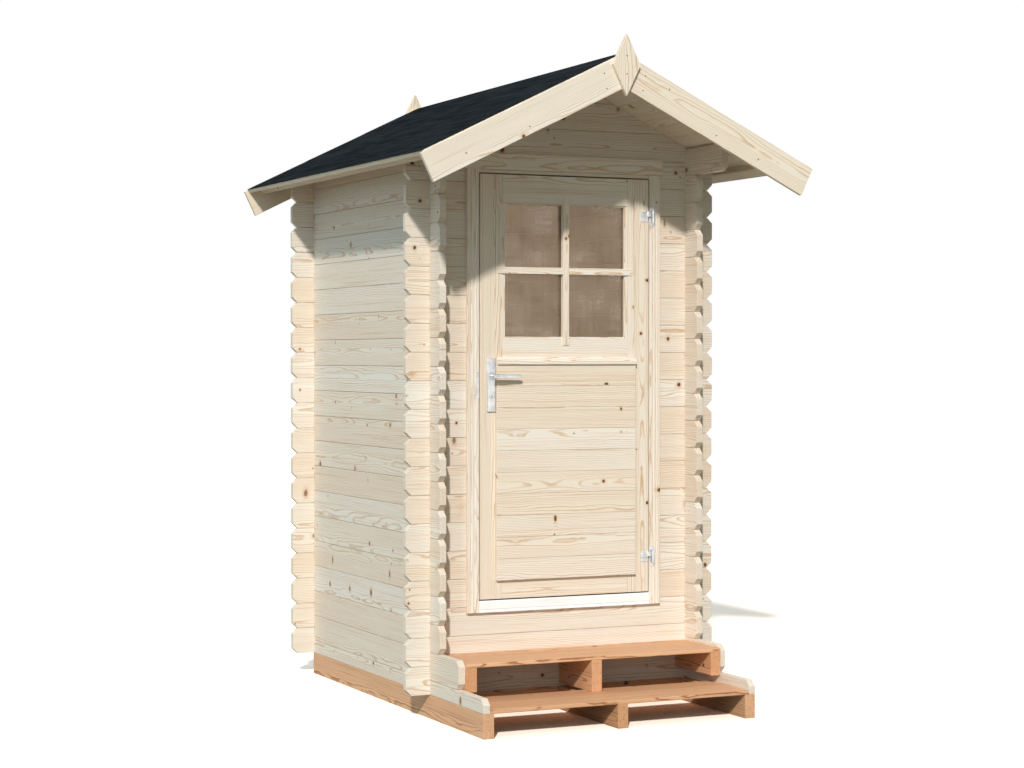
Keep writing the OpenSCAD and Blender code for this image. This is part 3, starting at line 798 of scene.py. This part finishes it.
PANEL_GAP = 0.0005
STRIP_W = 0.010  # the moulding on the stiles, beside the glass
STRIP_GAP = 0.0006
STRIP_SET = 0.003
BOARD_SET = 0.001
LEDGE_GROOVE, LEDGE_GROOVE_H = (0.006, 0.010), 0.003
LEDGE_FALL = 0.012
LEDGE_NOSE, LEDGE_NOSE_H = 0.002, 0.003
BAR_HALF = 0.0135
BEAD, BEAD_SET = 0.0045, 0.004  # a bead's width, and how far it lies behind the leaf's face


def door_leaf():
    """The leaf: stiles with a moulding by the glass, three rails, and boards behind the panel."""
    timber = Timber("door_leaf_frame", *LEAF, "door_leaf")
    low, high = leaf
    full = (low.y, high.y)
    for side in (-1, 1):
        outer = side * high.x
        seam_x = side * (panel[1].x + PANEL_GAP)
        inner = side * (pane[1].x + STRIP_GAP)
        strip = side * (pane[1].x + STRIP_W)
        gap = side * STRIP_GAP
        timber.slat((outer, seam_x), (low.z, high.z), full, Z, DOOR_EDGE)
        timber.slat((seam_x - gap, strip), (low.z, high.z), full, Z, DOOR_EDGE)
        timber.slat((strip - gap, inner), (pane[0].z, pane[1].z),
                    (low.y + STRIP_SET, high.y - STRIP_SET), Z, seam=0.0015)
    rail_x = pane[1].x + STRIP_W - STRIP_GAP
    for z0, z1 in ((low.z, panel[0].z), (ledge[0].z, pane[0].z), (pane[1].z, high.z)):
        timber.slat((-rail_x, rail_x), (z0 + PLAY, z1 - PLAY), full, X, seam=0.0018)
    for span in rows(panel[0].z, ledge[0].z, PANEL_BOARDS, PLAY):
        timber.slat((-rail_x, rail_x), span, (low.y + BOARD_SET, high.y - BOARD_SET), X,
                    DOOR_EDGE)
    timber.finish()


def door_panel():
    """The boarded lower panel, and the drip ledge over it."""
    timber = Timber("door_panel_boards", *LEAF, "door_panel")
    low, high = panel
    for span in rows(low.z, high.z, PANEL_BOARDS, HAIR):
        timber.slat((low.x, high.x), span, (low.y, high.y - HAIR), X, DOOR_EDGE)
    timber.finish()
    low, high = ledge
    groove_front, groove_back = (low.y + deep for deep in LEDGE_GROOVE)
    fall = high.z - LEDGE_FALL
    points = [(high.y, low.z), (groove_back, low.z), (groove_back, low.z + LEDGE_GROOVE_H),
              (groove_front, low.z + LEDGE_GROOVE_H), (groove_front, low.z), (low.y, low.z),
              (low.y, fall - LEDGE_NOSE_H), (low.y + LEDGE_NOSE, fall), (high.y, high.z)]
    one_board("door_drip_ledge", LEAF, "door_ledge", prism(points, "yz", low.x, high.x), X, -Y,
              seam=0.0009, soft=0.0006)


def glazing():
    """Two crossing bars with rounded fronts, and thin beads round the glass."""
    timber = Timber("glazing_cross", *LEAF, "glazing_bars")
    low, high = bars
    middle_z = (pane[0].z + pane[1].z) / 2
    outer_y = (low.y, leaf[0].y - HAIR)
    inner_y = (leaf[0].y, pane[0].y - HAIR)
    glass_z = (pane[0].z, pane[1].z)
    timber.slat((-BAR_HALF, BAR_HALF), (low.z, high.z), outer_y, Z, BAR_EDGE)
    timber.slat((-BAR_HALF, BAR_HALF), glass_z, inner_y, Z, 0.001)
    level = (middle_z - BAR_HALF, middle_z + BAR_HALF)
    for side in (-1, 1):
        start = side * (BAR_HALF + HAIR)
        timber.slat((start, side * high.x), level, (low.y + 2 * HAIR, outer_y[1]), X, BAR_EDGE)
        timber.slat((start, side * pane[1].x), level, inner_y, X, 0.001)
    bead_y = (leaf[0].y + BEAD_SET, inner_y[1])
    for side in (-1, 1):
        timber.slat((side * pane[1].x, side * (pane[1].x - BEAD)), glass_z, bead_y, Z, BAR_EDGE)
    for z0 in (pane[0].z, pane[1].z - BEAD):
        for x_range in ((-pane[1].x + BEAD, -BAR_HALF), (BAR_HALF, pane[1].x - BEAD)):
            timber.slat(x_range, (z0, z0 + BEAD), bead_y, X, BAR_EDGE)
    timber.finish()
    frame["nodes"]["door_glass"].data.materials.clear()
    frame["nodes"]["door_glass"].data.materials.append(GLASS)


# ---- metal fittings

SCREW_SIDES = 16
SCREW_RINGS = ((1, 0), (1, 0.45), (0.8, 0.85), (0.45, 1), (0.36, 0.2))  # shares of radius, rise
SCREW_RISE = 0.0008  # of the heads on the roof's boards
SLOT_STEPS = 10

PLATE_T = 0.008
PLATE_EDGE = 0.0032
PLATE_SCREW = 0.014  # from the plate's ends to its screws
KEY_DROP = 0.078  # from the lever down to the keyhole
BARREL_HALF, BARREL_LOW, BARREL_HIGH = 0.0042, 0.022, 0.002
LOCK_RISE = 0.003

SPINDLE_R, NECK_R = 0.006, 0.0088
NECK_SHORT = 0.008  # the neck ends this far short of the arm's outer face
ARM_STEPS, ARM_SIDES = 14, 16
ARM_TALL, ARM_DEEP = (0.0095, 0.0062), (0.0068, 0.0050)  # half sizes at the neck and at the tip
ARM_END = 0.72  # the drawn-in ends
ARM_BACK = 0.0095  # how far the arm reaches back past the spindle's axis
ARM_SET, ARM_BOW = 0.0070, 0.0022
ARM_SQUARE = 0.62  # under 1, the arm's section is squarer than an ellipse

METAL_T = 0.0025
HINGE_EDGE = 0.0007
PLATE_HALF_H, PLATE_SCREW_Z = 0.042, 0.031
WING_HALF = 0.021
WING_SCREWS = ((0.008, 0.0125), (0.020, -0.0125), (0.008, -0.0125))
KNUCKLE_H, KNUCKLE_R, KNUCKLE_GAP = 0.026, 0.0065, 0.0006
PIN_R = 0.004
WEB_HALF = 0.003
BEND_SET, FOLD_SET = 0.002, 0.003
RIDGE_RISE = 0.0035  # the pressed ridge across a wing
STRIKE_SCREW = 0.010


def cylinder(bm, centre, axis, radius, length, sides=28, top=None):
    """Adds a cylinder or cone frustum that starts at centre and runs along axis."""
    made = bmesh.ops.create_cone(bm, cap_ends=True, segments=sides, radius1=radius,
                                 radius2=radius if top is None else top, depth=length)
    turn = Z.rotation_difference(axis)
    for v in made["verts"]:
        v.co = turn @ (v.co + Vector((0, 0, length / 2))) + centre


def rounded(points, plane, low, high, edge):
    """A prism with all its corners rounded."""
    bm = prism(points, plane, low, high)
    bmesh.ops.bevel(bm, geom=convex_edges(bm), offset=edge, segments=3, profile=0.5,
                    affect="EDGES", clamp_overlap=True)
    return bm


def merge(into, other):
    mesh = bpy.data.meshes.new("part")
    other.to_mesh(mesh)
    other.free()
    into.from_mesh(mesh)
    bpy.data.meshes.remove(mesh)


def join_rings(bm, rings):
    """Skins a row of equal rings of points, and closes both ends."""
    sides = len(rings[0])
    for a, b in zip(rings, rings[1:]):
        for i in range(sides):
            j = (i + 1) % sides
            bm.faces.new((a[i], a[j], b[j], b[i]))
    bm.faces.new(rings[0])
    bm.faces.new(list(reversed(rings[-1])))


def screw_head(bm, centre, axis, radius=0.0034, rise=0.0011):
    """A domed screw or nail head with a round recess."""
    turn = Z.rotation_difference(axis)
    angles = [2 * math.pi * i / SCREW_SIDES for i in range(SCREW_SIDES)]
    rings = []
    for share, height in SCREW_RINGS:
        r = radius * share
        rings.append([
            bm.verts.new(turn @ Vector((r * math.cos(a), r * math.sin(a), rise * height)) + centre)
            for a in angles])
    join_rings(bm, rings)


def round_slot(half_wide, half_tall, centre):
    """An upright slot's outline with round ends."""
    cx, cz = centre
    rise = half_tall - half_wide
    top = [(cx + half_wide * math.cos(t), cz + rise + half_wide * math.sin(t))
           for t in (math.pi * i / SLOT_STEPS for i in range(SLOT_STEPS + 1))]
    return top + [(2 * cx - x, 2 * cz - z) for x, z in top]


def joint(name):
    return next(j for j in frame["joints"] if j["name"] == name)


def handle():
    """A long plate on each face of the door, with a boss, a keyhole cylinder and two screws."""
    low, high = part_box("handle_plates")
    x = (low.x + high.x) / 2
    pivot_z = joint("lever_turn")["pos_m"][2]
    key_z = pivot_z - KEY_DROP
    for side, name, surface in ((-1, "outer", leaf[0].y), (1, "inner", leaf[1].y)):
        face = surface + side * PLATE_T
        sunk = face - side * SINK
        out = Y * side
        bm = rounded(rectangle(low.x, high.x, low.z, high.z), "xz", *sorted((surface, face)),
                     PLATE_EDGE)
        for z in (low.z + PLATE_SCREW, high.z - PLATE_SCREW):
            screw_head(bm, Vector((x, face - side * HAIR, z)), out, 0.0036)
        cylinder(bm, Vector((x, sunk, pivot_z)), out, 0.0135, 0.0035, sides=36, top=0.0125)
        cylinder(bm, Vector((x, sunk, key_z)), out, 0.0085, 0.0040, sides=32)
        barrel = rectangle(x - BARREL_HALF, x + BARREL_HALF, key_z - BARREL_LOW,
                           key_z - BARREL_HIGH)
        merge(bm, rounded(barrel, "xz", *sorted((sunk, face + side * LOCK_RISE)), 0.0012))
        finish_piece(bm, f"handle_plate_{name}", STEEL, "door", "steel",
                     *(["handle_plates"] if side < 0 else []), smooth=True)
        ends = sorted(face + side * (LOCK_RISE + over) for over in (-0.0001, HAIR))
        slot = prism(round_slot(0.0011, 0.0048, (x, key_z)), "xz", *ends)
        finish_piece(slot, f"keyhole_{name}", NAIL, "door", "steel")


def lever():
    """A round neck and a tapering flat arm on each side, joined by the spindle."""
    pivot = Vector(joint("lever_turn")["pos_m"])
    low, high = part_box("door_lever")
    bm = bmesh.new()
    cylinder(bm, Vector((pivot.x, leaf[0].y, pivot.z)), Y, SPINDLE_R, leaf[1].y - leaf[0].y,
             sides=24)
    for side, surface, tip in ((-1, leaf[0].y, low.y), (1, leaf[1].y, high.y)):
        base = Vector((pivot.x, surface + side * SINK, pivot.z))
        neck = abs(tip - base.y) - NECK_SHORT
        cylinder(bm, base, Y * side, NECK_R, neck, sides=32)
        rings = []
        for i in range(ARM_STEPS + 1):
            t = i / ARM_STEPS
            tall = ARM_TALL[0] * (1 - t) + ARM_TALL[1] * t
            deep = ARM_DEEP[0] * (1 - t) + ARM_DEEP[1] * t
            if i in (0, ARM_STEPS):
                tall, deep = tall * ARM_END, deep * ARM_END
            x = high.x * t + pivot.x * (1 - t) - ARM_BACK * (1 - t)
            y = tip - side * (ARM_SET + ARM_BOW * math.sin(math.pi * t / 2))
            ring = []
            for k in range(ARM_SIDES):
                angle = 2 * math.pi * k / ARM_SIDES
                ca, sa = math.cos(angle), math.sin(angle)
                ring.append(bm.verts.new((
                    x, y + deep * math.copysign(abs(ca) ** ARM_SQUARE, ca),
                    pivot.z + tall * math.copysign(abs(sa) ** ARM_SQUARE, sa))))
            rings.append(ring)
        join_rings(bm, rings)
    finish_piece(bm, "lever_handle", STEEL, "lever", "steel", "door_lever", smooth=True)


def hinges():
    """Two hinges: an upright plate with a knuckle and pin on the casing, and a folded wing with
    its own knuckle on the leaf."""
    pivot = Vector(joint("door_hinge")["pos_m"])
    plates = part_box("hinge_frame_plates")
    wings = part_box("hinge_wings")
    plate_half = (plates[1].x - plates[0].x) / 2
    leaf_y = leaf[0].y
    front = leaf_y - METAL_T
    wing_x = wings[0].x
    bend = leaf[1].x - BEND_SET
    fold = pivot.y + FOLD_SET
    fixed, moving = bmesh.new(), bmesh.new()
    for z in (wings[0].z + WING_HALF, wings[1].z - KNUCKLE_H):
        axis_low = Vector((pivot.x, pivot.y, z - KNUCKLE_H))
        plate = round_slot(plate_half, PLATE_HALF_H, (pivot.x, z))
        merge(fixed, rounded(plate, "xz", front, leaf_y, HINGE_EDGE))
        for dz in (-PLATE_SCREW_Z, PLATE_SCREW_Z):
            screw_head(fixed, Vector((pivot.x + 0.001, front, z + dz)), -Y)
        cylinder(fixed, axis_low, Z, KNUCKLE_R, KNUCKLE_H)
        cylinder(fixed, axis_low, Z, PIN_R, 2 * KNUCKLE_H - 0.002, sides=20)
        web = rectangle(pivot.x - WEB_HALF, pivot.x + WEB_HALF, pivot.y, front)
        merge(fixed, rounded(web, "xy", z - KNUCKLE_H + SINK, z - SINK, METAL_EDGE))
        merge(moving, rounded(rectangle(wing_x, bend, z - WING_HALF, z + WING_HALF), "xz",
                              front, leaf_y, HINGE_EDGE))
        arm = [(bend - 0.006, leaf_y), (bend - 0.008, front), (bend - 0.002, fold), (pivot.x, fold),
               (pivot.x, fold + METAL_T), (bend, fold + METAL_T), (bend - 0.002, leaf_y)]
        merge(moving, rounded(arm, "xy", z + KNUCKLE_GAP, z + WING_HALF, 0.0005))
        ridge = rectangle(wing_x + 0.002, bend - 0.006, z - RIDGE_RISE, z + RIDGE_RISE)
        merge(moving, rounded(ridge, "xz", front - RIDGE_RISE, front + 0.0005, 0.0016))
        for dx, dz in WING_SCREWS:
            screw_head(moving, Vector((wing_x + dx, front, z + dz)), -Y, 0.003)
        cylinder(moving, Vector((pivot.x, pivot.y, z + KNUCKLE_GAP)), Z, KNUCKLE_R,
                 KNUCKLE_H - 0.0008)
    finish_piece(fixed, "hinge_plates", STEEL, "shed", "steel", "hinge_frame_plates", smooth=True)
    finish_piece(moving, "hinge_wing_leaves", STEEL, "door", "steel", "hinge_wings", smooth=True)


def strike():
    low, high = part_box("strike_plate")
    bm = rounded(rectangle(low.x, high.x, low.z, high.z), "xz", low.y, high.y, 0.0005)
    for z in (low.z + STRIKE_SCREW, high.z - STRIKE_SCREW):
        screw_head(bm, Vector(((low.x + high.x) / 2, low.y, z)), -Y, 0.0028, 0.0009)
    finish_piece(bm, "strike_plate_cover", STEEL, "shed", "steel", "strike_plate", smooth=True)


# ---- roof

RIDGE_MITRE = 0.0006
BATTEN_H, BATTEN_W = 0.028, 0.050
FELT_COURSES = 3
FELT_ROWS, FELT_COLUMNS = 12 * FELT_COURSES, 60
BARGE_DROP = 0.006  # from the felt's top to the boards' upper edge
BARGE_W = 0.120
BARGE_NAILS = (0.092, 0.035)  # under that edge
FINIAL_NAIL = 0.035


def slope(side, run, rise):
    """The point run down the slope and rise over the boards' underside, as x and z."""
    x = run * math.cos(PITCH) + rise * math.sin(PITCH)
    return side * x, UNDER_RIDGE - run * math.sin(PITCH) + rise * math.cos(PITCH)


def down_slope(x, rise):
    """How far down the slope a point lies, from its x and its rise over the boards' underside."""
    return (x - rise * math.sin(PITCH)) / math.cos(PITCH)


def roof():
    """The roof boards and felt on each slope, and the battens under the eaves."""
    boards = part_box("roof_boards_right")
    y0, y1 = boards[0].y, boards[1].y
    pitch = down_slope(boards[1].x, ROOF_T) / ROOF_BOARDS
    felt_end = down_slope(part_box("felt_right")[1].x, ROOF_T + FELT_T)
    for side, name in ((-1, "left"), (1, "right")):
        timber = Timber(f"roof_boards_{name}_layer", *ROOFING, f"roof_boards_{name}")
        face = Vector((side * math.sin(PITCH), 0, math.cos(PITCH)))
        for i in range(ROOF_BOARDS):
            a, b = i * pitch + PLAY, (i + 1) * pitch - PLAY
            top_a = a if i else -ROOF_T * math.tan(PITCH) + RIDGE_MITRE
            points = [slope(side, a, 0), slope(side, b, 0), slope(side, b, ROOF_T),
                      slope(side, top_a, ROOF_T)]
            timber.add(prism(points, "xz", y0, y1), Y, -face, seam=0.0028)
        timber.finish()
        felt_sheet(side, name, y0, y1, felt_end)
    battens = Timber("eave_batten_strips", *ROOFING, "eave_battens")
    end = down_slope(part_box("eave_battens")[1].x, 0)
    for side in (-1, 1):
        points = [slope(side, end - BATTEN_W, 0), slope(side, end, 0), slope(side, end, -BATTEN_H),
                  slope(side, end - BATTEN_W, -BATTEN_H)]
        battens.add(prism(points, "xz", y0, y1), Y, X * side, seam=0.003)
    battens.finish()


def felt_sheet(side, name, y0, y1, end):
    """The felt on one slope, gently uneven over the board joints, with lapped courses."""
    bm = bmesh.new()
    rng = random.Random("felt" + name)
    waves = [(rng.uniform(2, 7), rng.uniform(5, 16), rng.uniform(0, 6.3)) for _ in range(5)]
    base = ROOF_T + PLAY
    thickest = FELT_T - 2 * HAIR

    def lift(u, y):
        wave = sum(math.sin(a * y + b * u + c) for a, b, c in waves) / len(waves)
        edge = 0.5 + 0.5 * ((u / end * FELT_COURSES) % 1.0)
        return thickest * min(1.0, 0.62 * edge + 0.38 + 0.10 * wave - 0.10)

    layers = []
    for level in (0, 1):
        rows = []
        for i in range(FELT_ROWS + 1):
            u = end * i / FELT_ROWS
            row = []
            for k in range(FELT_COLUMNS + 1):
                y = y0 + (y1 - y0) * k / FELT_COLUMNS
                rise = base + (lift(u, y) if level else 0)
                x, z = slope(side, u if i else -rise * math.tan(PITCH), rise)
                row.append(bm.verts.new((x, y, z)))
            rows.append(row)
        layers.append(rows)
    low, high = layers
    strips = [pair for rows in layers for pair in zip(rows, rows[1:])]
    strips += [(low[0], high[0]), (low[-1], high[-1])]
    strips += [([r[k] for r in low], [r[k] for r in high]) for k in (0, -1)]
    for a, b in strips:
        for k in range(len(a) - 1):
            bm.faces.new((a[k], a[k + 1], b[k + 1], b[k]))
    finish_piece(bm, f"felt_{name}_sheet", FELT, "shed", "felt", f"felt_{name}", smooth=True)


def barge_boards():
    """The four sloping boards over the gable ends, each with nails, and the two pointed finials."""
    nails = bmesh.new()
    top = ROOF_T + FELT_T - BARGE_DROP
    low_nail, high_nail = top - BARGE_NAILS[0], top - BARGE_NAILS[1]
    tilt = math.tan(PITCH)
    for end, front in (("front", -1), ("back", 1)):
        for side, name in ((-1, "left"), (1, "right")):
            node = f"barge_{end}_{name}"
            low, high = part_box(node)
            reach = down_slope(max(abs(low.x), abs(high.x)), top)
            points = [slope(side, -top * tilt + PLAY, top),
                      slope(side, (BARGE_W - top) * tilt + PLAY, top - BARGE_W),
                      slope(side, reach, top - BARGE_W), slope(side, reach, top)]
            along = Vector((side * math.cos(PITCH), 0, -math.sin(PITCH)))
            one_board(node + "_board", ROOFING, node, prism(points, "xz", low.y, high.y),
                      along, Y * front, seam=0.002)
            face_y = low.y if front < 0 else high.y
            for at, rise in ((0.11, high_nail), (0.125, low_nail), (reach * 0.52, low_nail)):
                x, z = slope(side, at, rise)
                screw_head(nails, Vector((x, face_y, z)), Y * front, 0.0026, SCREW_RISE)
        low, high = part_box(f"finial_{end}")
        middle = (low.z + high.z) / 2
        face_y, wall_y = (low.y + SCREW_RISE, high.y) if front < 0 else (high.y - SCREW_RISE, low.y)
        diamond = [(0, low.z), (high.x, middle), (0, high.z), (low.x, middle)]
        one_board(f"finial_{end}_board", ROOFING, f"finial_{end}",
                  prism(diamond, "xz", *sorted((face_y, wall_y))), Z, Y * front,
                  seam=0.001, soft=0.001)
        for dz in (-FINIAL_NAIL, FINIAL_NAIL):
            screw_head(nails, Vector((0, face_y, middle + dz)), Y * front, 0.0028, SCREW_RISE)
    finish_piece(nails, "barge_nails", NAIL, "shed", "steel", smooth=True)


# ---- stage, light and camera

FLOOR_HALF = 60
FLOOR_GAP = 0.0005
FLOOR_THROWN = (0.185, 0.19, 0.152, 1)  # its colour in the light that it throws back
FLOOR_SEEN = (1.62, 1.43, 1.32, 1)  # its colour where the camera or a mirror sees it
SKY_COLOUR, SKY_STRENGTH = (0.88, 1.0, 0.97, 1), 0.26
CAMERA_AT = (-3.9226, -8.7034, 1.4458)
CAMERA_LENS = 76.404
CAMERA_DOWN, CAMERA_TURN = 0.722, 24.743  # degrees


def seen_rays(s, path):
    return s.math("MAXIMUM", path["Is Camera Ray"], path["Is Glossy Ray"])


def stage():
    """A plain floor: pale where it is looked at, duller in the light that it throws back."""
    bm = bmesh.new()
    bmesh.ops.create_grid(bm, x_segments=1, y_segments=1, size=FLOOR_HALF)
    mesh = bpy.data.meshes.new("floor")
    bm.to_mesh(mesh)
    bm.free()
    ground = put("floor", mesh)
    ground.location.z = CAD_LOW.z - FLOOR_GAP
    s = Shader("pale_floor")
    s.tree.nodes.remove(s.bsdf)
    path = s.node("LightPath").outputs
    diffuse = s.node("BsdfDiffuse")
    s.feed(diffuse.inputs["Color"], s.mix(seen_rays(s, path), FLOOR_THROWN, FLOOR_SEEN))
    s.feed(s.output.inputs["Surface"], diffuse.outputs[0])
    mesh.materials.append(s.material)


def sky():
    """A soft sky lights the shed; the camera, mirrors and glass see plain white instead."""
    world = bpy.data.worlds.new("studio")
    bpy.context.scene.world = world
    world.use_nodes = True
    s = Nodes(world.node_tree)
    s.tree.nodes.clear()
    path = s.node("LightPath").outputs
    share = s.node("MixShader")
    s.feed(share.inputs[0], s.math("MAXIMUM", seen_rays(s, path), path["Is Transmission Ray"]))
    for socket, colour, strength in ((share.inputs[1], SKY_COLOUR, SKY_STRENGTH),
                                     (share.inputs[2], (1, 1, 1, 1), 1.0)):
        light = s.node("Background")
        light.inputs["Color"].default_value = colour
        light.inputs["Strength"].default_value = strength
        s.feed(socket, light.outputs[0])
    s.feed(s.node("OutputWorld").inputs["Surface"], share.outputs[0])


def sun(name, travels, strength, colour, softness):
    """A sun whose light travels in a direction; softness is its width in degrees."""
    lamp = bpy.data.lights.new(name, "SUN")
    lamp.energy = strength
    lamp.color = colour
    lamp.angle = math.radians(softness)
    made = put(name, lamp)
    made.rotation_mode = "QUATERNION"
    made.rotation_quaternion = Vector(travels).to_track_quat("-Z", "Y")


def camera():
    """The photo's camera, as solved from the shed's corners in it."""
    data = bpy.data.cameras.new("camera")
    data.lens = CAMERA_LENS
    data.sensor_width = 36
    data.clip_end = 200
    made = put("camera", data)
    made.location = CAMERA_AT
    made.rotation_euler = (math.radians(90 - CAMERA_DOWN), 0, math.radians(-CAMERA_TURN))
    bpy.context.scene.camera = made


back_wall()
front_wall()
side_wall(-1, "left")
side_wall(1, "right")
base_timbers()
floor()
door_frame()
threshold()
door_leaf()
door_panel()
glazing()
handle()
lever()
hinges()
strike()
roof()
barge_boards()
stage()
sky()
# Each sun: the way its light travels, its strength, its colour and its width in degrees
sun("key", (0.58, 1.0, -0.755), 3.1, (1.0, 0.955, 0.885), 2.6)
sun("sky_side", (1.0, 0.35, -0.35), 1.1, (0.62, 0.88, 1.0), 90)
sun("sky_back", (-0.55, -0.8, -0.4), 0.9, (0.97, 0.99, 1.0), 90)
sun("front_fill", (-0.1, 1.0, -0.2), 0.09, (1.0, 0.93, 0.84), 70)
camera()
bpy.context.scene.view_settings.view_transform = "Standard"
